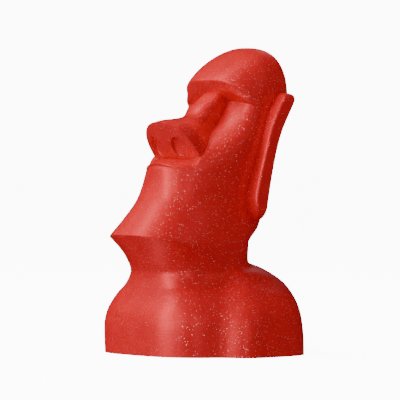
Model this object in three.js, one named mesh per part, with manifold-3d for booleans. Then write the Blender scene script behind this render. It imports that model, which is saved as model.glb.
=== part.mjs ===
// A small printed moai bust: head tilted back, long ears, shoulders cut flat below.
// Millimetres, +Z up, the face towards -Y, origin at the middle of the underside.
import * as THREE from 'three';
import * as BufferGeometryUtils from 'three/addons/utils/BufferGeometryUtils.js';
import Module from 'manifold-3d';

// Driving sizes
const height = 100;
const earThickness = 4.3;
const earStandOut = 4.8;
const nostrilDepth = 1.1;

// Fineness of the facets
const columns = 60;
const rowSpacing = 2.5;
const domeRows = 9;

// The pose, proportions and carving below are in hundredths of the height.
const share = height / 100;

// Sections of the body from the underside up to the brow. Each is a closed ring: its height at the side,
// front and back, where its front, back and widest line lie, half its width, and how square it is.
// The body is a column from the chest up to the head, with shoulders that stand out from it lower down.
// A crease is a crisp edge that runs across the front.
const sections = [
  { name: 'underside', side: 0, frontTop: 0, backTop: 0, front: -29.3, back: 12, half: 28.4,
    widest: 0, frontSquare: 3, backSquare: 3,
    shoulderFront: -15.6, shoulderBack: 22.8, shoulderHalf: 36.4, shoulderSquare: 4.5 },
  { name: 'upper arms', side: 8, frontTop: 8.5, backTop: 8, front: -29.6, back: 12, half: 28.5,
    widest: 0, frontSquare: 3, backSquare: 3,
    shoulderFront: -15.2, shoulderBack: 22.7, shoulderHalf: 36, shoulderSquare: 4.3 },
  { name: 'armpits', side: 14, frontTop: 14.5, backTop: 14.5, front: -28.7, back: 12, half: 27.1,
    widest: 0, frontSquare: 3, backSquare: 3,
    shoulderFront: -14.2, shoulderBack: 22.6, shoulderHalf: 34.3, shoulderSquare: 3.9 },
  { name: 'shoulders', side: 19, frontTop: 19.5, backTop: 19.5, front: -26.2, back: 12, half: 24.2,
    widest: 0.5, frontSquare: 3, backSquare: 2.8,
    shoulderFront: -12.2, shoulderBack: 23.2, shoulderHalf: 30.3, shoulderSquare: 3.4 },
  { name: 'shoulder tops', side: 23, frontTop: 22.6, backTop: 24, front: -24.6, back: 11.5, half: 20.6,
    widest: 1, frontSquare: 3, backSquare: 2.6,
    shoulderFront: -9.6, shoulderBack: 22.5, shoulderHalf: 25, shoulderSquare: 3 },
  { name: 'collar', side: 26.6, frontTop: 26.4, backTop: 28.2, front: -23.6, back: 11, half: 18.6,
    widest: 0, frontSquare: 2.9, backSquare: 2.4,
    shoulderFront: -8, shoulderBack: 16.8, shoulderHalf: 20.8, shoulderSquare: 2.8 },
  { name: 'neck', side: 30.5, frontTop: 32, backTop: 32.6, front: -27, back: 10.6, half: 18.4,
    widest: -1, frontSquare: 2.6, backSquare: 2.2 },
  { name: 'chin', side: 35, frontTop: 38.9, backTop: 37.5, front: -33, back: 10.6, half: 18.8,
    widest: -1, frontSquare: 3, backSquare: 2.2, crease: true },
  { name: 'jaw', side: 40, frontTop: 44.5, backTop: 43, front: -27.8, back: 15.8, half: 18.2,
    widest: 1, frontSquare: 2.7, backSquare: 2.3 },
  { name: 'upper jaw', side: 48, frontTop: 52, backTop: 51, front: -22, back: 18.8, half: 17.1,
    widest: 2, frontSquare: 2.5, backSquare: 2.5 },
  { name: 'lip', side: 57, frontTop: 62.2, backTop: 59, front: -19.8, back: 20, half: 17.5,
    widest: 4, frontSquare: 2.1, backSquare: 2.6, arch: 1.6, crease: true },
  { name: 'lip root', side: 60, frontTop: 64.2, backTop: 62, front: -16.6, back: 20.5, half: 17.9,
    widest: 5, frontSquare: 2.5, backSquare: 2.6, arch: 2, recess: 6, crease: true },
  { name: 'cheeks', side: 70, frontTop: 73, backTop: 72, front: -1.2, back: 22.6, half: 18.6,
    widest: 11, frontSquare: 5, backSquare: 2.7 },
  { name: 'eyes', side: 80.4, frontTop: 82.2, backTop: 80.4, front: 6.2, back: 24.6, half: 17.6,
    widest: 16.5, frontSquare: 8, backSquare: 3.4, crease: true },
  { name: 'under the brow', side: 81.3, frontTop: 85.6, backTop: 81.3, front: 2.9, back: 24.7, half: 17.5,
    widest: 16.8, frontSquare: 4, backSquare: 3.6 },
  { name: 'brow', side: 82.2, frontTop: 89, backTop: 82.2, front: 0.9, back: 24.8, half: 17.5,
    widest: 17, frontSquare: 3, backSquare: 3.8, crease: true },
];
const creasedFields = ['frontTop', 'front', 'frontSquare', 'recess'];
const smoothFields = ['side', 'backTop', 'back', 'half', 'widest', 'backSquare', 'arch'];
const shoulderFields = ['shoulderFront', 'shoulderBack', 'shoulderHalf', 'shoulderSquare'];

// How flat the arch of each section is across the front, where the section doesn't say.
const plainArch = 4;

// A section's recess is how far its front is set back in the middle. It fades out this far to each side.
const recessHalf = 12.5;

// How softly the shoulders flow into the chest and neck: the higher, the crisper the hollow between them.
const hollowCrispness = 16;

// Above the collar the shoulders shrink to this share of the column, and so vanish inside it.
const hiddenShare = 0.7;
for (const section of sections) {
  section.arch ??= plainArch;
  section.recess ??= 0;
  section.shoulderHalf ??= section.half * hiddenShare;
  section.shoulderFront ??= section.widest + (section.front - section.widest) * hiddenShare;
  section.shoulderBack ??= section.widest + (section.back - section.widest) * hiddenShare;
  section.shoulderSquare ??= section.frontSquare;
}

// The dome of the head above the brow
const crownBack = 17.5;
const domeFrontRound = 1.2;
const domeSideRound = 2.4;
const domeBackRound = 3.3;

// The nose, as slices from its root under the brow down to the flat face with the nostrils.
// Each slice has its front point, half its width, how deep its front is rounded, and its tilt in degrees.
const noseSlices = [
  { front: 6, top: 88, half: 4, round: 4, square: 2.4, tilt: 0 },
  { front: 2.6, top: 85, half: 4.6, round: 4, square: 2.4, tilt: 0 },
  { front: -2.6, top: 81, half: 4.9, round: 4, square: 2.4, tilt: 0 },
  { front: -6, top: 77.8, half: 5.2, round: 4.5, square: 2.3, tilt: 8 },
  { front: -10.4, top: 76.7, half: 6, round: 6, square: 2.2, tilt: 25 },
  { front: -15.6, top: 76.2, half: 10.4, round: 10, square: 2.2, tilt: 43 },
  { front: -19.4, top: 75.4, half: 11.9, round: 13.8, square: 2.3, tilt: 54 },
];
const noseReach = 19;
const noseRowsPerSlice = 2;
const nosePoints = 24;
const undersideBulge = 2;
const undersideRings = 4;

// The nostrils, ovals on the nose's underside, placed across it and down it from the tip
const nostrilAcross = 5.3;
const nostrilDown = 9;
const nostrilHalfWidth = 2.9;
const nostrilHalfHeight = 3.6;
const nostrilLean = 8;
const nostrilTurn = 9;
const nostrilFloorTilt = 13;
const nostrilPoints = 20;

// The ears, as rounded slices from the lobe up to the tip: the height of each, its front edge, and its
// thickness and stand-out as shares of earThickness and earStandOut. They stand out from the head's side.
const earSlices = [
  { top: 43.2, front: 6.6, thick: 0.3, out: 0.1 },
  { top: 44.4, front: 5.2, thick: 0.66, out: 0.62 },
  { top: 46.8, front: 4.2, thick: 0.98, out: 0.95 },
  { top: 51, front: 3.8, thick: 1.24, out: 1 },
  { top: 58, front: 5.4, thick: 1.2, out: 1 },
  { top: 66, front: 7.9, thick: 1.08, out: 1 },
  { top: 73, front: 10, thick: 1.2, out: 1 },
  { top: 79.5, front: 13.2, thick: 1.32, out: 1 },
  { top: 82.6, front: 15.4, thick: 1.2, out: 0.96 },
  { top: 84.2, front: 16.8, thick: 0.86, out: 0.76 },
  { top: 84.9, front: 18, thick: 0.36, out: 0.36 },
];
const earRoot = 11;
const earHeadSide = 17.8;
const earSquare = 16;
const earPoints = 20;
const earRowsPerSlice = 2;

const wasm = await Module();
wasm.setup();

function toSolid(geometry) {
  const bare = geometry.clone();
  bare.deleteAttribute('normal');
  bare.deleteAttribute('uv');
  const merged = BufferGeometryUtils.mergeVertices(bare, 1e-4);
  return new wasm.Manifold(new wasm.Mesh({
    numProp: 3,
    vertProperties: new Float32Array(merged.attributes.position.array),
    triVerts: new Uint32Array(merged.index.array),
  }));
}

function toGeometry(solid) {
  const mesh = solid.getMesh();
  const geometry = new THREE.BufferGeometry();
  geometry.setAttribute('position', new THREE.BufferAttribute(mesh.vertProperties, 3));
  geometry.setIndex(new THREE.BufferAttribute(mesh.triVerts, 1));
  geometry.computeVertexNormals();
  return geometry;
}

// Joins rings of equally many points into one closed skin, with a fan of triangles over each end.
// Each four-sided patch is split along its shorter diagonal.
function closedLoft(rings, firstCentre, lastCentre) {
  const count = rings[0].length;
  const positions = [];
  for (const ring of rings) {
    for (const point of ring) {
      positions.push(point.x, point.y, point.z);
    }
  }
  const first = positions.length / 3;
  positions.push(firstCentre.x, firstCentre.y, firstCentre.z);
  positions.push(lastCentre.x, lastCentre.y, lastCentre.z);
  const triangles = [];
  const lastRow = (rings.length - 1) * count;
  for (let column = 0; column < count; column += 1) {
    const next = (column + 1) % count;
    for (let row = 0; row < rings.length - 1; row += 1) {
      const low = row * count;
      const high = low + count;
      const here = rings[row];
      const above = rings[row + 1];
      const rising = here[column].distanceTo(above[next]);
      const falling = here[next].distanceTo(above[column]);
      if (rising <= falling) {
        triangles.push(low + column, low + next, high + next);
        triangles.push(low + column, high + next, high + column);
      } else {
        triangles.push(low + column, low + next, high + column);
        triangles.push(low + next, high + next, high + column);
      }
    }
    triangles.push(first, next, column);
    triangles.push(first + 1, lastRow + column, lastRow + next);
  }
  const geometry = new THREE.BufferGeometry();
  geometry.setAttribute('position', new THREE.Float32BufferAttribute(positions, 3));
  geometry.setIndex(triangles);
  return geometry;
}

function middleOf(ring) {
  const sum = new THREE.Vector3();
  for (const point of ring) {
    sum.add(point);
  }
  return sum.divideScalar(ring.length);
}

// The slopes of one field at each section, on its lower and upper side. They differ only at a crease.
function slopesOf(field) {
  const last = sections.length - 1;
  const breaks = creasedFields.includes(field);
  const secants = [];
  for (let index = 0; index < last; index += 1) {
    const run = sections[index + 1].side - sections[index].side;
    secants.push((sections[index + 1][field] - sections[index][field]) / run);
  }
  const slopes = sections.map((entry, index) => {
    const before = secants[Math.max(0, index - 1)];
    const after = secants[Math.min(last - 1, index)];
    if (index === 0 || index === last || (breaks && entry.crease)) {
      return { below: before, above: after, free: true };
    }
    const runBefore = entry.side - sections[index - 1].side;
    const runAfter = sections[index + 1].side - entry.side;
    const mean = (before * runAfter + after * runBefore) / (runBefore + runAfter);
    const slope = before * after > 0 ? mean : 0;
    return { below: slope, above: slope, free: false };
  });
  // A free end takes its slope from its neighbour's, so that a hollow stays round up to the crease.
  for (let index = 0; index < last; index += 1) {
    const lower = slopes[index];
    const upper = slopes[index + 1];
    if (lower.free && !upper.free) {
      lower.above = (3 * secants[index] - upper.below) / 2;
    }
    if (upper.free && !lower.free) {
      upper.below = (3 * secants[index] - lower.above) / 2;
    }
  }
  return slopes;
}

const fieldSlopes = {};
for (const field of [...creasedFields, ...smoothFields, ...shoulderFields]) {
  fieldSlopes[field] = slopesOf(field);
}

function hermite(start, slopeStart, end, slopeEnd, along) {
  const squared = along * along;
  const cubed = squared * along;
  return start * (2 * cubed - 3 * squared + 1) + slopeStart * (cubed - 2 * squared + along)
    + end * (3 * squared - 2 * cubed) + slopeEnd * (cubed - squared);
}

// A section part of the way from one named section to the next.
function sectionBetween(index, along) {
  const lower = sections[index];
  const upper = sections[index + 1];
  const run = upper.side - lower.side;
  const form = {};
  for (const [field, slopes] of Object.entries(fieldSlopes)) {
    const slopeStart = slopes[index].above * run;
    const slopeEnd = slopes[index + 1].below * run;
    form[field] = hermite(lower[field], slopeStart, upper[field], slopeEnd, along);
  }
  return form;
}

// How far a rounded box reaches from its middle in one direction, which has parts across and ahead.
function boxReach(across, ahead, half, depth, square) {
  return (Math.abs(across / half) ** square + Math.abs(ahead / depth) ** square) ** (-1 / square);
}

// One ring of the body: two rounded boxes seen from above, the column and the shoulders, which flow
// together, arched in height from front to side to back.
function ringOf(form) {
  const ring = [];
  for (let column = 0; column < columns; column += 1) {
    const angle = (2 * Math.PI * column) / columns;
    const across = Math.sin(angle);
    const ahead = Math.cos(angle);
    const isFront = ahead >= 0;
    const depth = isFront ? form.widest - form.front : form.back - form.widest;
    const square = isFront ? form.frontSquare : form.backSquare;
    const shoulderDepth = isFront ? form.widest - form.shoulderFront : form.shoulderBack - form.widest;
    const shoulderSquare = isFront ? form.shoulderSquare : form.backSquare;
    const main = boxReach(across, ahead, form.half, depth, square);
    const shoulder = boxReach(across, ahead, form.shoulderHalf, shoulderDepth, shoulderSquare);
    const reach = (main ** hollowCrispness + shoulder ** hollowCrispness) ** (1 / hollowCrispness);
    const x = reach * across;
    const setBack = isFront ? form.recess * Math.max(0, 1 - (x / recessHalf) ** 2) : 0;
    const y = form.widest - reach * ahead + setBack;
    const outward = Math.min(1, Math.abs(x) / Math.max(form.half, form.shoulderHalf));
    const z = isFront
      ? form.frontTop + (form.side - form.frontTop) * outward ** form.arch
      : form.backTop + (form.side - form.backTop) * outward ** 2;
    ring.push(new THREE.Vector3(x, y, z).multiplyScalar(share));
  }
  return ring;
}

// The rings of the dome close in from the brow to the crown.
function domeForm(brow, rise) {
  const close = (round) => (1 - rise ** round) ** (1 / round);
  const lift = (top) => top + (100 - top) * rise;
  return {
    ...brow,
    widest: crownBack + (brow.widest - crownBack) * close(domeSideRound),
    front: crownBack + (brow.front - crownBack) * close(domeFrontRound),
    shoulderFront: crownBack + (brow.shoulderFront - crownBack) * close(domeFrontRound),
    back: crownBack + (brow.back - crownBack) * close(domeBackRound),
    shoulderBack: crownBack + (brow.shoulderBack - crownBack) * close(domeBackRound),
    half: brow.half * close(domeSideRound),
    shoulderHalf: brow.shoulderHalf * close(domeSideRound),
    frontTop: lift(brow.frontTop),
    side: lift(brow.side),
    backTop: lift(brow.backTop),
  };
}

function makeBody() {
  const rings = [];
  for (let index = 0; index < sections.length - 1; index += 1) {
    const lower = sections[index];
    const upper = sections[index + 1];
    const length = Math.hypot(upper.front - lower.front, upper.frontTop - lower.frontTop);
    const rows = Math.max(1, Math.round(length / rowSpacing));
    for (let row = 0; row < rows; row += 1) {
      rings.push(ringOf(sectionBetween(index, row / rows)));
    }
  }
  const brow = sections[sections.length - 1];
  rings.push(ringOf(brow));
  for (let row = 1; row < domeRows; row += 1) {
    const rise = Math.sin((Math.PI / 2) * (row / domeRows));
    rings.push(ringOf(domeForm(brow, rise)));
  }
  const underside = new THREE.Vector3(0, 0, 0);
  const crown = new THREE.Vector3(0, crownBack, 100).multiplyScalar(share);
  return toSolid(closedLoft(rings, underside, crown));
}

// One slice of the nose: rounded in front, straight behind, in a plane that tilts down towards the back.
function noseRing(slice) {
  const tilt = THREE.MathUtils.degToRad(slice.tilt);
  const outline = [];
  for (let index = 0; index <= nosePoints; index += 1) {
    const angle = Math.PI * (index / nosePoints) - Math.PI / 2;
    const across = Math.sin(angle);
    const ahead = Math.cos(angle);
    const reach = (Math.abs(across) ** slice.square + ahead ** slice.square) ** (-1 / slice.square);
    outline.push({ x: slice.half * reach * across, behind: slice.round * (1 - reach * ahead) });
  }
  outline.push({ x: slice.half, behind: noseReach });
  outline.push({ x: -slice.half, behind: noseReach });
  return outline.map((point) => new THREE.Vector3(
    point.x,
    slice.front + point.behind * Math.cos(tilt),
    slice.top - point.behind * Math.sin(tilt),
  ).multiplyScalar(share));
}

// A slice part of the way along the slices of the nose or an ear.
function sliceBetween(slices, position) {
  const last = slices.length - 1;
  const index = Math.min(last - 1, Math.floor(position));
  const before = slices[Math.max(0, index - 1)];
  const lower = slices[index];
  const upper = slices[index + 1];
  const after = slices[Math.min(last, index + 2)];
  const slice = {};
  for (const field of Object.keys(lower)) {
    const slopeStart = (upper[field] - before[field]) / 2;
    const slopeEnd = (after[field] - lower[field]) / 2;
    slice[field] = hermite(lower[field], slopeStart, upper[field], slopeEnd, position - index);
  }
  return slice;
}

// The nose's underside: its middle line's point so far down from the tip, and its outward direction.
const underside = noseSlices[noseSlices.length - 1];
const undersideTilt = THREE.MathUtils.degToRad(underside.tilt);
const undersideOutward = new THREE.Vector3(0, -Math.sin(undersideTilt), -Math.cos(undersideTilt));

function undersidePoint(across, down) {
  const away = Math.min(1, Math.hypot(across / underside.half, 1 - down / underside.round));
  return new THREE.Vector3(
    across,
    underside.front + down * Math.cos(undersideTilt),
    underside.top - down * Math.sin(undersideTilt),
  ).addScaledVector(undersideOutward, undersideBulge * (1 - away * away)).multiplyScalar(share);
}

function makeNose() {
  const rim = noseRing(underside);
  const summit = undersidePoint(0, underside.round);
  const foot = summit.clone().addScaledVector(undersideOutward, -undersideBulge * share);
  const rings = [];
  for (let step = 1; step < undersideRings; step += 1) {
    const size = step / undersideRings;
    const push = undersideBulge * share * (1 - size * size);
    rings.push(rim.map((point) => point.clone().sub(foot).multiplyScalar(size).add(foot)
      .addScaledVector(undersideOutward, push)));
  }
  for (let step = (noseSlices.length - 1) * noseRowsPerSlice; step >= 0; step -= 1) {
    rings.push(noseRing(sliceBetween(noseSlices, step / noseRowsPerSlice)));
  }
  return toSolid(closedLoft(rings, summit, middleOf(rings[rings.length - 1])));
}

// A shallow oval pocket in the nose's underside, its floor a little steeper than the face around it.
function makeNostril(side) {
  const degrees = THREE.MathUtils.degToRad;
  const pocket = new THREE.CylinderGeometry(1, 1, 2 * nostrilDepth, nostrilPoints);
  pocket.scale(nostrilHalfWidth * share, 1, nostrilHalfHeight * share);
  pocket.rotateY(side * degrees(nostrilLean));
  pocket.rotateZ(side * degrees(nostrilTurn));
  pocket.rotateX(Math.PI / 2 - undersideTilt - degrees(nostrilFloorTilt));
  const centre = undersidePoint(side * nostrilAcross, nostrilDown);
  pocket.translate(centre.x, centre.y, centre.z);
  return toSolid(pocket);
}

// An ear is a stack of rounded slices, each from inside the head out to the ear's outer face.
function makeEar(side) {
  const rings = [];
  for (let step = 0; step <= (earSlices.length - 1) * earRowsPerSlice; step += 1) {
    const slice = sliceBetween(earSlices, step / earRowsPerSlice);
    const inner = earRoot * share;
    const outer = earHeadSide * share + slice.out * earStandOut;
    const halfLength = (outer - inner) / 2;
    const halfThickness = (slice.thick * earThickness) / 2;
    const ring = [];
    for (let index = 0; index < earPoints; index += 1) {
      const angle = (2 * Math.PI * (index + 0.5)) / earPoints;
      const across = Math.cos(angle);
      const ahead = Math.sin(angle);
      const reach = boxReach(across, ahead, 1, 1, earSquare);
      ring.push(new THREE.Vector3(
        side * (inner + halfLength * (1 + reach * across)),
        slice.front * share + halfThickness * (1 + side * reach * ahead),
        slice.top * share,
      ));
    }
    rings.push(ring);
  }
  return toSolid(closedLoft(rings, middleOf(rings[0]), middleOf(rings[rings.length - 1])));
}

let bust = makeBody().add(makeNose());
for (const side of [-1, 1]) {
  bust = bust.subtract(makeNostril(side)).add(makeEar(side));
}

const redGlitterPlastic = new THREE.MeshStandardMaterial({ color: 0xc4221b, roughness: 0.4, metalness: 0 });
const model = new THREE.Group();
const mesh = new THREE.Mesh(toGeometry(bust), redGlitterPlastic);
mesh.name = 'moai_bust';
model.add(mesh);

export default model;
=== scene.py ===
"""The small moai bust as a satin red print full of fine glitter, on a pale floor in soft studio light."""

import math

import bpy
import numpy as np
from mathutils import Matrix, Vector


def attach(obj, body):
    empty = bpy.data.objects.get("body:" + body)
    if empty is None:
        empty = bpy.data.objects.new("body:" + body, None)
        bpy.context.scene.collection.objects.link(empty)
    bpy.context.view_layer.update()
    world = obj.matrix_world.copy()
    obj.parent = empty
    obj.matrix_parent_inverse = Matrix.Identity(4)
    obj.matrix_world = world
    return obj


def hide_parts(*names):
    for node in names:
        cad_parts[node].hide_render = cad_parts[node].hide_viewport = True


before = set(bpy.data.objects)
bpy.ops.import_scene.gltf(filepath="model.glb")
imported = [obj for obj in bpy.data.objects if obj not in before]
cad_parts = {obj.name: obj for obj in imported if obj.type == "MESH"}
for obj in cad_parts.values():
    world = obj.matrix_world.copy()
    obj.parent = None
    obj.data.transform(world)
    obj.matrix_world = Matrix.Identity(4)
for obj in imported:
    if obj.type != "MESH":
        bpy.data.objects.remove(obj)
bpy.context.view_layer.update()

MILLIMETRE = 0.001

# Driving sizes of the solid, in millimetres
HEIGHT = 100
EAR_THICKNESS = 4.3
EAR_STAND_OUT = 4.8
NOSTRIL_DEPTH = 1.1

# Fineness of the mesh: points round a ring, the spacing of the rings in millimetres, closer round the lip,
# and the number of rings in the dome
COLUMNS = 220
ROW_SPACING = 0.46
LIP_ROW_SPACING = 0.2
DOME_ROWS = 64

# The pose, proportions and carving below are in hundredths of the height, as in the solid.
CROWN_TOP = 100
SHARE = HEIGHT / CROWN_TOP

# Sections of the body from the underside up to the brow: height at the side, front and back, where the
# front and back lie, half the width, where the widest line lies, how square front and back are, how flat
# the arch is across the front, how far its middle is set back, and whether a crease runs there.
FIELDS = (
    "side", "front_top", "back_top", "front", "back", "half",
    "widest", "front_square", "back_square", "arch", "recess", "crease",
)
SECTIONS = {
    "underside": (0, 0, 0, -29.3, 12, 28.4, 0, 3, 3, 4, 0, False),
    "upper arms": (8, 8.5, 8, -29.6, 12, 28.5, 0, 3, 3, 4, 0, False),
    "armpits": (14, 14.5, 14.5, -28.7, 12, 27.1, 0, 3, 3, 4, 0, False),
    "shoulders": (19, 19.5, 19.5, -26.2, 12, 24.2, 0.5, 3, 2.8, 4, 0, False),
    "shoulder tops": (23, 22.6, 24, -24.6, 11.5, 20.6, 1, 3, 2.6, 4, 0, False),
    "collar": (26.6, 26.4, 28.2, -23.6, 11, 18.6, 0, 2.9, 2.4, 4, 0, False),
    "neck": (30.5, 32, 32.6, -27, 10.6, 18.4, -1, 2.6, 2.2, 4, 0, False),
    "chin": (35, 38.9, 37.5, -33, 10.6, 18.8, -1, 3, 2.2, 4, 0, True),
    "jaw": (40, 44.5, 43, -27.8, 15.8, 18.2, 1, 2.7, 2.3, 4, 0, False),
    "upper jaw": (48, 52, 51, -22, 18.8, 17.1, 2, 2.5, 2.5, 4, 0, False),
    "lip": (57, 62.2, 59, -19.8, 20, 17.5, 4, 2.1, 2.6, 1.6, 0, True),
    "lip root": (60, 64.2, 62, -16.6, 20.5, 17.9, 5, 2.5, 2.6, 2, 6, True),
    "cheeks": (70, 73, 72, -1.2, 22.6, 18.6, 11, 5, 2.7, 4, 0, False),
    "eyes": (80.4, 82.2, 80.4, 6.2, 24.6, 17.6, 16.5, 8, 3.4, 4, 0, True),
    "under the brow": (81.3, 85.6, 81.3, 2.9, 24.7, 17.5, 16.8, 4, 3.6, 4, 0, False),
    "brow": (82.2, 89, 82.2, 0.9, 24.8, 17.5, 17, 3, 3.8, 4, 0, True),
}

# The fields whose slope breaks at a crease, and how flat the arch is across the back
CREASED_FIELDS = ("front_top", "front", "front_square", "recess")
BACK_ARCH = 2

# A section's recess, and the lip's bead and groove, fade out this far to each side of the middle.
RECESS_HALF = 12.5

# The lip's edge is a thin bead with a fine groove under it: how far each stands out or in, how wide each
# is, and how far the groove lies below the edge.
LIP_TOP = SECTIONS["lip"][FIELDS.index("front_top")]
LIP_BEAD = 0.22
LIP_BEAD_WIDTH = 0.45
LIP_GROOVE = 0.3
LIP_GROOVE_WIDTH = 0.3
LIP_GROOVE_DOWN = 1.05

# The shoulders stand out from the column of chest and neck: front, back, half the width, and how
# square their front is. Further up they shrink to a share of the column, and so vanish inside it.
# Where the two meet, they flow together, in a hollow that gets crisper as its crispness rises.
SHOULDER_FIELDS = ("shoulder_front", "shoulder_back", "shoulder_half", "shoulder_square")
SHOULDERS = {
    "underside": (-15.6, 22.8, 36.4, 4.5),
    "upper arms": (-15.2, 22.7, 36, 4.3),
    "armpits": (-14.2, 22.6, 34.3, 3.9),
    "shoulders": (-12.2, 23.2, 30.3, 3.4),
    "shoulder tops": (-9.6, 22.5, 25, 3),
    "collar": (-8, 16.8, 20.8, 2.8),
}
HIDDEN_SHARE = 0.7
HOLLOW_CRISPNESS = 16

# The dome of the head above the brow: where its top lies, and how round it is towards each side
CROWN_BACK = 17.5
DOME_FRONT_ROUND = 1.2
DOME_SIDE_ROUND = 2.4
DOME_BACK_ROUND = 3.3

# The nose, as slices from its root down to the flat face with the nostrils: front point, its height,
# half the width, depth of the rounded front, how square that is, and the slice's tilt in degrees. Each
# slice runs as far back as the reach, into the face. The face with the nostrils bulges a little.
NOSE_SLICES = np.array([
    (6, 88, 4, 4, 2.4, 0),
    (2.6, 85, 4.6, 4, 2.4, 0),
    (-2.6, 81, 4.9, 4, 2.4, 0),
    (-6, 77.8, 5.2, 4.5, 2.3, 8),
    (-10.4, 76.7, 6, 6, 2.2, 25),
    (-15.6, 76.2, 10.4, 10, 2.2, 43),
    (-19.4, 75.4, 11.9, 13.8, 2.3, 54),
])
NOSE_REACH = 19
NOSE_ROWS_PER_SLICE = 14
NOSE_POINTS = 90
NOSE_SIDE_POINTS = 24
UNDERSIDE_BULGE = 2
UNDERSIDE_RINGS = 22

# The nostrils: their places and half sizes, then their lean, turn and the tilt of their floor in degrees.
# The rounding of the floor's edge is in millimetres.
NOSTRIL_ACROSS = 5.3
NOSTRIL_DOWN = 9
NOSTRIL_HALF_WIDTH = 2.9
NOSTRIL_HALF_HEIGHT = 3.6
NOSTRIL_LEAN = 8
NOSTRIL_TURN = 9
NOSTRIL_FLOOR_TILT = 13
NOSTRIL_FLOOR_ROUNDING = 0.5
NOSTRIL_ROUNDING_STEPS = 4
NOSTRIL_POINTS = 56

# The ears, from the lobe up to the tip: height, front edge, and thickness and stand-out as shares of
# EAR_THICKNESS and EAR_STAND_OUT. An ear starts at its root inside the head, and stands out from the
# head's side.
EAR_SLICES = np.array([
    (43.2, 6.6, 0.3, 0.1),
    (44.4, 5.2, 0.66, 0.62),
    (46.8, 4.2, 0.98, 0.95),
    (51, 3.8, 1.24, 1),
    (58, 5.4, 1.2, 1),
    (66, 7.9, 1.08, 1),
    (73, 10, 1.2, 1),
    (79.5, 13.2, 1.32, 1),
    (82.6, 15.4, 1.2, 0.96),
    (84.2, 16.8, 0.86, 0.76),
    (84.9, 18, 0.36, 0.36),
])
EAR_ROOT = 11
EAR_HEAD_SIDE = 17.8
EAR_SQUARE = 16
EAR_POINTS = 72
EAR_ROWS_PER_SLICE = 10

# The printed edges are a little soft: passes of smoothing, the share of the way that each moves a point
# towards its neighbours, and how high above the underside, in millimetres, points start to move. Edges
# sharper than this angle, in degrees, are shaded as creases.
SOFTENING_PASSES = 1
SOFTENING = 0.5
SOFTENING_START = 0.02
SHARP_ANGLE = 50

# The photo's frame, in pixels: its size, its scale, the column of the bust's axis and the row of the ground
IMAGE_SIZE = 400
PIXELS_PER_MILLIMETRE = 3.05
AXIS_COLUMN = 203.5
GROUND_ROW = 352

# The photo's view: the camera looks at the left side of the bust's face, from a little above its lips. The
# azimuth is in degrees, the camera's distance, height and nearest and farthest sight in metres, and its
# sensor's width in millimetres.
CAMERA_AZIMUTH = 50
CAMERA_DISTANCE = 1.1
CAMERA_HEIGHT = 0.070
CAMERA_NEAREST = 0.05
CAMERA_FARTHEST = 20
SENSOR_WIDTH = 36


def hermite(start, slope_start, end, slope_end, along):
    """A smooth curve's value part of the way from its start to its end."""
    squared = along * along
    cubed = squared * along
    return (
        start * (2 * cubed - 3 * squared + 1)
        + slope_start * (cubed - 2 * squared + along)
        + end * (3 * squared - 2 * cubed)
        + slope_end * (cubed - squared)
    )


def full_sections():
    """Every section as a dict with all its fields, the shoulders' too."""
    forms = []
    for name, values in SECTIONS.items():
        form = dict(zip(FIELDS, values))
        widest = form["widest"]
        hidden = (
            widest + (form["front"] - widest) * HIDDEN_SHARE,
            widest + (form["back"] - widest) * HIDDEN_SHARE,
            form["half"] * HIDDEN_SHARE,
            form["front_square"],
        )
        form.update(zip(SHOULDER_FIELDS, SHOULDERS.get(name, hidden)))
        forms.append(form)
    return forms


FORMS = full_sections()


def slopes_of(field):
    """The slopes of one field below and above each section. They differ only at a crease or an end."""
    last = len(FORMS) - 1
    sides = [form["side"] for form in FORMS]
    values = [form[field] for form in FORMS]
    secants = [(values[i + 1] - values[i]) / (sides[i + 1] - sides[i]) for i in range(last)]
    below, above, free = [], [], []
    for index in range(last + 1):
        before = secants[max(0, index - 1)]
        after = secants[min(last - 1, index)]
        free.append(index in (0, last) or (field in CREASED_FIELDS and FORMS[index]["crease"]))
        if not free[index]:
            run_before = sides[index] - sides[index - 1]
            run_after = sides[index + 1] - sides[index]
            mean = (before * run_after + after * run_before) / (run_before + run_after)
            before = after = mean if before * after > 0 else 0
        below.append(before)
        above.append(after)
    for index in range(last):
        if free[index] and not free[index + 1]:
            above[index] = (3 * secants[index] - below[index + 1]) / 2
        if free[index + 1] and not free[index]:
            below[index + 1] = (3 * secants[index] - above[index]) / 2
    return below, above


FIELD_SLOPES = {field: slopes_of(field) for field in FORMS[0] if field != "crease"}


def section_between(index, along):
    """A section part of the way from one named section to the next."""
    lower, upper = FORMS[index:index + 2]
    run = upper["side"] - lower["side"]
    return {
        field: hermite(lower[field], above[index] * run, upper[field], below[index + 1] * run, along)
        for field, (below, above) in FIELD_SLOPES.items()
    }


def box_reach(across, ahead, half, depth, square):
    """How far a rounded box reaches from its middle in one direction."""
    return (np.abs(across / half) ** square + np.abs(ahead / depth) ** square) ** (-1 / square)


def lip_relief(down):
    """How far the front stands out at this distance below the lip's edge, or in where it is negative."""
    bead = LIP_BEAD * math.exp(-((down / LIP_BEAD_WIDTH) ** 2))
    groove = LIP_GROOVE * math.exp(-(((down - LIP_GROOVE_DOWN) / LIP_GROOVE_WIDTH) ** 2))
    return bead - groove


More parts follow.
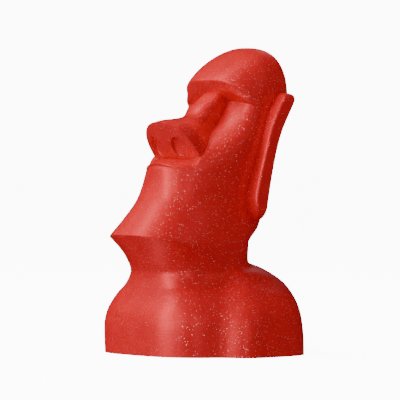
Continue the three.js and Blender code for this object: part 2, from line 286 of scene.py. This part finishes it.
def ring_of(form):
    """One ring of the body: two rounded boxes seen from above, the column and the shoulders, which flow
    together, arched in height from front to side to back."""
    angle = np.arange(COLUMNS) * (2 * math.pi / COLUMNS)
    across = np.sin(angle)
    ahead = np.cos(angle)
    is_front = ahead >= 0
    widest = form["widest"]
    depth = np.where(is_front, widest - form["front"], form["back"] - widest)
    square = np.where(is_front, form["front_square"], form["back_square"])
    shoulder_depth = np.where(is_front, widest - form["shoulder_front"], form["shoulder_back"] - widest)
    shoulder_square = np.where(is_front, form["shoulder_square"], form["back_square"])
    main = box_reach(across, ahead, form["half"], depth, square)
    shoulder = box_reach(across, ahead, form["shoulder_half"], shoulder_depth, shoulder_square)
    reach = (main ** HOLLOW_CRISPNESS + shoulder ** HOLLOW_CRISPNESS) ** (1 / HOLLOW_CRISPNESS)
    x = reach * across
    middle_share = np.where(is_front, np.maximum(0, 1 - (x / RECESS_HALF) ** 2), 0)
    set_back = form["recess"] - lip_relief(LIP_TOP - form["front_top"])
    y = widest - reach * ahead + set_back * middle_share
    outward = np.minimum(1, np.abs(x) / max(form["half"], form["shoulder_half"]))
    front_z = form["front_top"] + (form["side"] - form["front_top"]) * outward ** form["arch"]
    back_z = form["back_top"] + (form["side"] - form["back_top"]) * outward ** BACK_ARCH
    return np.stack([x, y, np.where(is_front, front_z, back_z)], axis=1) * SHARE


def dome_form(brow, rise):
    """One ring of the dome, which closes in from the brow to the crown as it rises."""
    side_share = (1 - rise ** DOME_SIDE_ROUND) ** (1 / DOME_SIDE_ROUND)
    front_share = (1 - rise ** DOME_FRONT_ROUND) ** (1 / DOME_FRONT_ROUND)
    back_share = (1 - rise ** DOME_BACK_ROUND) ** (1 / DOME_BACK_ROUND)
    form = dict(brow)
    form["widest"] = CROWN_BACK + (brow["widest"] - CROWN_BACK) * side_share
    for front in ("front", "shoulder_front"):
        form[front] = CROWN_BACK + (brow[front] - CROWN_BACK) * front_share
    for back in ("back", "shoulder_back"):
        form[back] = CROWN_BACK + (brow[back] - CROWN_BACK) * back_share
    for half in ("half", "shoulder_half"):
        form[half] = brow[half] * side_share
    for top in ("front_top", "side", "back_top"):
        form[top] = brow[top] + (CROWN_TOP - brow[top]) * rise
    return form


def closed_loft(name, rings, first_centre, last_centre):
    """Joins rings of equally many points into one closed skin. Each patch is split along its shorter
    diagonal."""
    rings = np.array(rings)
    rows, count = rings.shape[:2]
    points = np.concatenate([rings.reshape(-1, 3), [first_centre], [last_centre]])
    column = np.arange(count)
    following = (column + 1) % count
    row_start = np.arange(rows - 1)[:, None] * count
    low = (row_start + column).ravel()
    low_next = (row_start + following).ravel()
    high = low + count
    high_next = low_next + count
    rising = np.linalg.norm(points[low] - points[high_next], axis=1)
    falling = np.linalg.norm(points[low_next] - points[high], axis=1)
    is_rising = (rising <= falling)[:, None]
    first_half = np.where(
        is_rising,
        np.stack([low, low_next, high_next], 1),
        np.stack([low, low_next, high], 1),
    )
    second_half = np.where(
        is_rising,
        np.stack([low, high_next, high], 1),
        np.stack([low_next, high_next, high], 1),
    )
    last_row = (rows - 1) * count
    first_fan = np.stack([np.full(count, rows * count), following, column], 1)
    last_fan = np.stack([np.full(count, rows * count + 1), last_row + column, last_row + following], 1)
    triangles = np.concatenate([first_half, second_half, first_fan, last_fan])
    mesh = bpy.data.meshes.new(name)
    mesh.from_pydata((points * MILLIMETRE).tolist(), [], triangles.tolist())
    mesh.update()
    piece = bpy.data.objects.new(name, mesh)
    bpy.context.scene.collection.objects.link(piece)
    return piece


def make_body():
    """Head, neck, chest and shoulders, from the underside up to the crown."""
    rings = []
    for index in range(len(FORMS) - 1):
        lower, upper = FORMS[index:index + 2]
        length = math.hypot(upper["front"] - lower["front"], upper["front_top"] - lower["front_top"]) * SHARE
        spacing = LIP_ROW_SPACING if LIP_TOP in (lower["front_top"], upper["front_top"]) else ROW_SPACING
        rows = max(1, round(length / spacing))
        for row in range(rows):
            rings.append(ring_of(section_between(index, row / rows)))
    brow = FORMS[-1]
    rings.append(ring_of(brow))
    for row in range(1, DOME_ROWS):
        rings.append(ring_of(dome_form(brow, math.sin(math.pi / 2 * row / DOME_ROWS))))
    crown = np.array([0, CROWN_BACK, CROWN_TOP]) * SHARE
    return closed_loft("printed_bust", rings, np.zeros(3), crown)


def nose_ring(nose_slice):
    """One slice of the nose: rounded in front and straight behind, in a plane that tilts down to the back."""
    front, top, half, depth, square, tilt = nose_slice
    angle = math.pi * np.arange(NOSE_POINTS + 1) / NOSE_POINTS - math.pi / 2
    across = np.sin(angle)
    ahead = np.maximum(0, np.cos(angle))
    reach = (np.abs(across) ** square + ahead ** square) ** (-1 / square)
    side_run = np.linspace(depth, NOSE_REACH, NOSE_SIDE_POINTS + 1)
    behind = np.concatenate([depth * (1 - reach * ahead), side_run[1:], side_run[:0:-1]])
    x = np.concatenate([
        half * reach * across,
        np.full(NOSE_SIDE_POINTS, half),
        np.full(NOSE_SIDE_POINTS, -half),
    ])
    y = front + behind * math.cos(math.radians(tilt))
    z = top - behind * math.sin(math.radians(tilt))
    return np.stack([x, y, z], axis=1) * SHARE


def slice_between(slices, position):
    """A slice part of the way along the slices of the nose or an ear."""
    last = len(slices) - 1
    index = min(last - 1, int(position))
    before = slices[max(0, index - 1)]
    lower, upper = slices[index:index + 2]
    after = slices[min(last, index + 2)]
    return hermite(lower, (upper - before) / 2, upper, (after - lower) / 2, position - index)


# The nose's underside is the face that its last slice frames.
UNDERSIDE_FRONT, UNDERSIDE_TOP, UNDERSIDE_HALF, UNDERSIDE_ROUND = NOSE_SLICES[-1][:4]
UNDERSIDE_TILT = math.radians(NOSE_SLICES[-1][5])
UNDERSIDE_OUTWARD = np.array([0, -math.sin(UNDERSIDE_TILT), -math.cos(UNDERSIDE_TILT)])


def underside_point(across, down):
    """A point on the nose's underside, so far across and so far down from the tip."""
    away = min(1, math.hypot(across / UNDERSIDE_HALF, 1 - down / UNDERSIDE_ROUND))
    flat = np.array([
        across,
        UNDERSIDE_FRONT + down * math.cos(UNDERSIDE_TILT),
        UNDERSIDE_TOP - down * math.sin(UNDERSIDE_TILT),
    ])
    return (flat + UNDERSIDE_OUTWARD * UNDERSIDE_BULGE * (1 - away * away)) * SHARE


def make_nose():
    """The nose, from the middle of its bulging underside out to the rim and up to the root."""
    rim = nose_ring(NOSE_SLICES[-1])
    summit = underside_point(0, UNDERSIDE_ROUND)
    foot = summit - UNDERSIDE_OUTWARD * UNDERSIDE_BULGE * SHARE
    rings = []
    for step in range(1, UNDERSIDE_RINGS):
        size = step / UNDERSIDE_RINGS
        push = UNDERSIDE_OUTWARD * UNDERSIDE_BULGE * SHARE * (1 - size * size)
        rings.append((rim - foot) * size + foot + push)
    for step in range((len(NOSE_SLICES) - 1) * NOSE_ROWS_PER_SLICE, -1, -1):
        rings.append(nose_ring(slice_between(NOSE_SLICES, step / NOSE_ROWS_PER_SLICE)))
    return closed_loft("nose", rings, summit, rings[-1].mean(axis=0))


def make_nostril(side):
    """The cutter of one nostril: an oval with a rounded edge round its floor."""
    angle = np.arange(NOSTRIL_POINTS) * (2 * math.pi / NOSTRIL_POINTS)
    oval = np.stack([np.sin(angle), np.zeros(NOSTRIL_POINTS), np.cos(angle)], axis=1)
    levels = [(-NOSTRIL_DEPTH, 0), (0, 0), (NOSTRIL_DEPTH - NOSTRIL_FLOOR_ROUNDING, 0)]
    for step in range(1, NOSTRIL_ROUNDING_STEPS + 1):
        bend = math.pi / 2 * step / NOSTRIL_ROUNDING_STEPS
        inward = NOSTRIL_FLOOR_ROUNDING * (1 - math.cos(bend))
        levels.append((NOSTRIL_DEPTH - NOSTRIL_FLOOR_ROUNDING * (1 - math.sin(bend)), inward))
    rings = []
    for level, inward in levels:
        half_sizes = np.array([
            NOSTRIL_HALF_WIDTH * SHARE - inward,
            1,
            NOSTRIL_HALF_HEIGHT * SHARE - inward,
        ])
        rings.append(oval * half_sizes + np.array([0, level, 0]))
    floor_turn = math.pi / 2 - UNDERSIDE_TILT - math.radians(NOSTRIL_FLOOR_TILT)
    turn = (
        Matrix.Rotation(floor_turn, 3, "X")
        @ Matrix.Rotation(side * math.radians(NOSTRIL_TURN), 3, "Z")
        @ Matrix.Rotation(side * math.radians(NOSTRIL_LEAN), 3, "Y")
    )
    centre = underside_point(side * NOSTRIL_ACROSS, NOSTRIL_DOWN)
    placed = [ring @ np.array(turn).T + centre for ring in rings]
    return closed_loft("nostril", placed, placed[0].mean(axis=0), placed[-1].mean(axis=0))


def make_ear(side):
    """A stack of rounded slices, each from inside the head out to the ear's outer face."""
    angle = 2 * math.pi * (np.arange(EAR_POINTS) + 0.5) / EAR_POINTS
    across = np.cos(angle)
    ahead = np.sin(angle)
    reach = box_reach(across, ahead, 1, 1, EAR_SQUARE)
    inner = EAR_ROOT * SHARE
    rings = []
    for step in range((len(EAR_SLICES) - 1) * EAR_ROWS_PER_SLICE + 1):
        top, front, thick, out = slice_between(EAR_SLICES, step / EAR_ROWS_PER_SLICE)
        half_length = (EAR_HEAD_SIDE * SHARE + out * EAR_STAND_OUT - inner) / 2
        half_thickness = thick * EAR_THICKNESS / 2
        x = side * (inner + half_length * (1 + reach * across))
        y = front * SHARE + half_thickness * (1 + side * reach * ahead)
        rings.append(np.stack([x, y, np.full(EAR_POINTS, top * SHARE)], axis=1))
    return closed_loft("ear", rings, rings[0].mean(axis=0), rings[-1].mean(axis=0))


def join(base, other, operation):
    """Adds the other piece to the base, or cuts it out, and keeps one skin."""
    modifier = base.modifiers.new(other.name, "BOOLEAN")
    modifier.operation = operation
    modifier.solver = "MANIFOLD"
    modifier.object = other
    graph = bpy.context.evaluated_depsgraph_get()
    joined = bpy.data.meshes.new_from_object(base.evaluated_get(graph))
    base.modifiers.clear()
    base.data = joined
    bpy.data.objects.remove(other)


def soften(piece):
    """Draws each point a little towards its neighbours, so that the creases are as soft as a print's."""
    mesh = piece.data
    points = np.zeros(len(mesh.vertices) * 3)
    mesh.vertices.foreach_get("co", points)
    points = points.reshape(-1, 3)
    edges = np.zeros(len(mesh.edges) * 2, dtype=int)
    mesh.edges.foreach_get("vertices", edges)
    starts, ends = edges.reshape(-1, 2).T
    neighbours = np.bincount(starts, minlength=len(points)) + np.bincount(ends, minlength=len(points))
    stands_clear = points[:, 2] > SOFTENING_START * MILLIMETRE
    for _ in range(SOFTENING_PASSES):
        means = np.zeros_like(points)
        for axis in range(3):
            means[:, axis] = np.bincount(starts, points[ends, axis], len(points))
            means[:, axis] += np.bincount(ends, points[starts, axis], len(points))
        means /= neighbours[:, None]
        points[stands_clear] += SOFTENING * (means - points)[stands_clear]
    mesh.vertices.foreach_set("co", points.ravel())
    mesh.update()


def make_bust():
    """The whole print in one skin."""
    bust = make_body()
    join(bust, make_nose(), "UNION")
    for side in (-1, 1):
        join(bust, make_nostril(side), "DIFFERENCE")
        join(bust, make_ear(side), "UNION")
    soften(bust)
    bust.data.shade_smooth()
    bust.data.set_sharp_from_angle(angle=math.radians(SHARP_ANGLE))
    return bust


class Shader:
    """A material's nodes, made and linked by short calls."""

    def __init__(self, name):
        self.material = bpy.data.materials.new(name)
        self.material.use_nodes = True
        self.tree = self.material.node_tree
        self.principled = self.tree.nodes["Principled BSDF"]

    def node(self, kind, inputs=None, **settings):
        """A new node with its settings, and each input set to a value or linked to a socket."""
        made = self.tree.nodes.new(kind)
        for setting, value in settings.items():
            setattr(made, setting, value)
        for key, value in (inputs or {}).items():
            if isinstance(value, bpy.types.NodeSocket):
                self.tree.links.new(value, made.inputs[key])
            else:
                made.inputs[key].default_value = value
        return made

    def math(self, operation, first, second):
        return self.node("ShaderNodeMath", {0: first, 1: second}, operation=operation).outputs[0]

    def mix_colour(self, share, first, second):
        """Mixes two colours. They are a Mix node's inputs 6 and 7, and its output 2 is the colour."""
        mixed = self.node("ShaderNodeMix", {0: share, 6: first, 7: second}, data_type="RGBA")
        return mixed.outputs[2]

    def feed(self, name, value):
        """Sets one input of the shader itself, or links it to a socket."""
        if isinstance(value, bpy.types.NodeSocket):
            self.tree.links.new(value, self.principled.inputs[name])
        else:
            self.principled.inputs[name].default_value = value


# The plastic's body: two reds in soft clouds, so many to a metre, how metallic, rough, shiny and
# translucent it is, and how far light travels in it, with the share of that for red, green and blue
DEEP_RED = (0.60, 0.006, 0.010, 1)
BRIGHT_RED = (0.76, 0.010, 0.014, 1)
CLOUDS_PER_METRE = 220
CLOUD_DETAIL = 3
BODY_SHEEN = 0.35
LEAST_ROUGHNESS = 0.32
MOST_ROUGHNESS = 0.39
SHINE = 0.45
TRANSLUCENCY = 0.12
SCATTER_SHARES = (1.0, 0.12, 0.08)
SCATTER_DEPTH = 1.5 * MILLIMETRE

# The flakes in it: the size of the cells that may hold one, a flake's reach in its cell, the share of cells
# that hold one, the share and added metal of the silver ones, and how far each flake may tilt
SILVER_FLAKE = (1.0, 0.50, 0.44, 1)
ORANGE_FLAKE = (1.0, 0.11, 0.05, 1)
FLAKE_SIZE = 0.27 * MILLIMETRE
FLAKE_REACH = 0.40
FLAKE_SHARE = 0.10
SILVER_SHARE = 0.45
SILVER_SHINE = 0.35
FLAKE_TILT = 0.4

# The lines between its printed layers
LAYER_PITCH = 0.5 * MILLIMETRE
LAYER_RELIEF = 0.04 * MILLIMETRE
LAYER_STRENGTH = 0.5


def make_plastic():
    """Red plastic full of small flakes that each catch the light their own way, with faint print lines."""
    plastic = Shader("red_glitter_plastic")
    place = plastic.node("ShaderNodeTexCoord").outputs["Object"]
    cloud = plastic.node(
        "ShaderNodeTexNoise", {"Vector": place, "Scale": CLOUDS_PER_METRE, "Detail": CLOUD_DETAIL}
    ).outputs[0]
    body = plastic.mix_colour(cloud, DEEP_RED, BRIGHT_RED)

    flakes = plastic.node("ShaderNodeTexVoronoi", {"Vector": place, "Scale": 1 / FLAKE_SIZE})
    chance = plastic.node("ShaderNodeSeparateColor", {0: flakes.outputs["Color"]})
    is_chosen = plastic.math("LESS_THAN", chance.outputs[0], FLAKE_SHARE)
    is_near = plastic.math("LESS_THAN", flakes.outputs["Distance"], FLAKE_REACH)
    is_flake = plastic.math("MULTIPLY", is_chosen, is_near)
    is_silver = plastic.math("LESS_THAN", chance.outputs[1], SILVER_SHARE)
    flake_colour = plastic.mix_colour(is_silver, ORANGE_FLAKE, SILVER_FLAKE)
    plastic.feed("Base Color", plastic.mix_colour(is_flake, body, flake_colour))
    shine = plastic.math("MULTIPLY", plastic.math("MULTIPLY", is_silver, is_flake), SILVER_SHINE)
    plastic.feed("Metallic", plastic.math("ADD", shine, BODY_SHEEN))

    height = plastic.node("ShaderNodeSeparateXYZ", {0: place}).outputs[2]
    layer = plastic.math("MULTIPLY", height, 1 / LAYER_PITCH)
    lines = plastic.node(
        "ShaderNodeTexNoise", {"W": layer, "Scale": 1, "Detail": 1}, noise_dimensions="1D"
    )
    bump = plastic.node(
        "ShaderNodeBump",
        {"Height": lines.outputs[0], "Strength": LAYER_STRENGTH, "Distance": LAYER_RELIEF},
    )
    middle_grey = (0.5, 0.5, 0.5)
    random_way = plastic.node(
        "ShaderNodeVectorMath", {0: flakes.outputs["Color"], 1: middle_grey}, operation="SUBTRACT"
    )
    strength = plastic.math("MULTIPLY", is_flake, 2 * FLAKE_TILT)
    tilt = plastic.node(
        "ShaderNodeVectorMath", {0: random_way.outputs[0], "Scale": strength}, operation="SCALE"
    )
    tilted = plastic.node("ShaderNodeVectorMath", {0: bump.outputs[0], 1: tilt.outputs[0]}, operation="ADD")
    facing = plastic.node("ShaderNodeVectorMath", {0: tilted.outputs[0]}, operation="NORMALIZE")
    plastic.feed("Normal", facing.outputs[0])
    roughness = plastic.node(
        "ShaderNodeMapRange", {"Value": cloud, "To Min": LEAST_ROUGHNESS, "To Max": MOST_ROUGHNESS}
    )
    plastic.feed("Roughness", roughness.outputs[0])
    plastic.feed("Specular IOR Level", SHINE)
    plastic.feed("Subsurface Weight", TRANSLUCENCY)
    plastic.feed("Subsurface Radius", SCATTER_SHARES)
    plastic.feed("Subsurface Scale", SCATTER_DEPTH)
    return plastic.material


MIDDLE = Vector((0, 0, HEIGHT / 2 * MILLIMETRE))


def around(azimuth, elevation, distance):
    """A place round the bust's middle, by azimuth from the face towards the left ear and by elevation, in
    degrees."""
    turn = math.radians(azimuth)
    rise = math.radians(elevation)
    way = Vector((math.sin(turn) * math.cos(rise), -math.cos(turn) * math.cos(rise), math.sin(rise)))
    return MIDDLE + way * distance


def add_light(name, place, size, power, is_mirrored):
    """A soft rectangular light that faces the bust's middle."""
    light = bpy.data.lights.new(name, "AREA")
    light.shape = "RECTANGLE"
    light.size, light.size_y = size
    light.energy = power
    lamp = bpy.data.objects.new(name, light)
    lamp.location = place
    lamp.visible_glossy = is_mirrored
    lamp.rotation_euler = (MIDDLE - place).to_track_quat("-Z", "Y").to_euler()
    bpy.context.scene.collection.objects.link(lamp)


def add_camera():
    """The camera of the photo, aimed so that the bust's axis and the ground lie where the photo has them."""
    camera = bpy.data.cameras.new("camera")
    camera.sensor_width = SENSOR_WIDTH
    camera.lens = PIXELS_PER_MILLIMETRE * CAMERA_DISTANCE / MILLIMETRE * SENSOR_WIDTH / IMAGE_SIZE
    camera.clip_start = CAMERA_NEAREST
    camera.clip_end = CAMERA_FARTHEST
    turn = math.radians(CAMERA_AZIMUTH)
    right = Vector((math.cos(turn), math.sin(turn), 0))
    sideways = (IMAGE_SIZE / 2 - AXIS_COLUMN) / PIXELS_PER_MILLIMETRE * MILLIMETRE
    middle_height = (GROUND_ROW - IMAGE_SIZE / 2) / PIXELS_PER_MILLIMETRE * MILLIMETRE
    aim = right * sideways + Vector((0, 0, middle_height))
    eye = right * sideways + Vector((math.sin(turn), -math.cos(turn), 0)) * CAMERA_DISTANCE
    eye.z = CAMERA_HEIGHT
    viewer = bpy.data.objects.new("camera", camera)
    viewer.location = eye
    viewer.rotation_euler = (aim - eye).to_track_quat("-Z", "Y").to_euler()
    bpy.context.scene.collection.objects.link(viewer)
    bpy.context.scene.camera = viewer


# The studio: strength of the pale backdrop as seen by the camera, and of the room's light on the bust, and
# half the floor's width in metres
BACKDROP_STRENGTH = 11.0
ROOM_STRENGTH = 0.8
FLOOR_HALF = 6
FLOOR_COLOUR = (0.9, 0.9, 0.9, 1)
FLOOR_ROUGHNESS = 0.9
WHITE = (1, 1, 1, 1)

# Each light's azimuth and elevation in degrees, its distance, width and height in metres, its power, and
# whether the plastic mirrors it.
LIGHTS = {
    "key": (-14, 4, 0.7, 0.24, 0.36, 1.35, True),
    "upper_key": (-20, 34, 0.7, 0.16, 0.4, 1.4, True),
    "left": (-50, 30, 0.7, 0.14, 0.36, 0.15, True),
    "top": (-66, 52, 0.7, 0.22, 0.22, 0.45, True),
    "camera_side": (10, 14, 0.7, 0.16, 0.6, 0.75, True),
    "near_camera": (50, 14, 0.8, 0.16, 0.7, 0.45, True),
    "right": (105, 34, 0.7, 0.16, 0.36, 0.08, True),
    "rim": (215, 34, 0.7, 0.16, 0.36, 0.08, True),
    "floor_glow": (-36, -62, 0.6, 0.2, 0.3, 0.2, True),
    "overhead": (-60, 60, 0.7, 0.5, 0.5, 6.0, False),
    "low_front": (-35, -25, 0.7, 0.5, 0.4, 1.0, False),
}


def add_room():
    """The room, bright to the camera and dimmer as light on the bust."""
    world = bpy.data.worlds.new("studio")
    world.use_nodes = True
    nodes = world.node_tree.nodes
    seen = nodes.new("ShaderNodeLightPath").outputs["Is Camera Ray"]
    strength = nodes.new("ShaderNodeMapRange")
    strength.inputs["To Min"].default_value = ROOM_STRENGTH
    strength.inputs["To Max"].default_value = BACKDROP_STRENGTH
    world.node_tree.links.new(seen, strength.inputs["Value"])
    world.node_tree.links.new(strength.outputs[0], nodes["Background"].inputs["Strength"])
    nodes["Background"].inputs["Color"].default_value = WHITE
    world.cycles_visibility.glossy = False
    bpy.context.scene.world = world


def add_floor():
    """A pale floor that glows as bright as the room behind it, so that no edge shows between them."""
    floor_mesh = bpy.data.meshes.new("floor")
    corners = [(x * FLOOR_HALF, y * FLOOR_HALF, 0) for x, y in ((-1, -1), (1, -1), (1, 1), (-1, 1))]
    floor_mesh.from_pydata(corners, [], [(0, 1, 2, 3)])
    floor = bpy.data.objects.new("floor", floor_mesh)
    bpy.context.scene.collection.objects.link(floor)
    paint = Shader("pale_floor")
    paint.feed("Base Color", FLOOR_COLOUR)
    paint.feed("Roughness", FLOOR_ROUGHNESS)
    paint.feed("Emission Color", WHITE)
    paint.feed("Emission Strength", BACKDROP_STRENGTH - ROOM_STRENGTH)
    floor_mesh.materials.append(paint.material)
    floor.visible_diffuse = False
    floor.visible_glossy = False
    floor.visible_shadow = False


def add_studio():
    """Room, lights and floor."""
    add_room()
    for name, (azimuth, elevation, distance, width, tall, power, is_mirrored) in LIGHTS.items():
        add_light(name, around(azimuth, elevation, distance), (width, tall), power, is_mirrored)
    add_floor()


bust = make_bust()
bust.data.materials.clear()
bust.data.materials.append(make_plastic())
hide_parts("moai_bust")
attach(bust, "root")
add_camera()
add_studio()
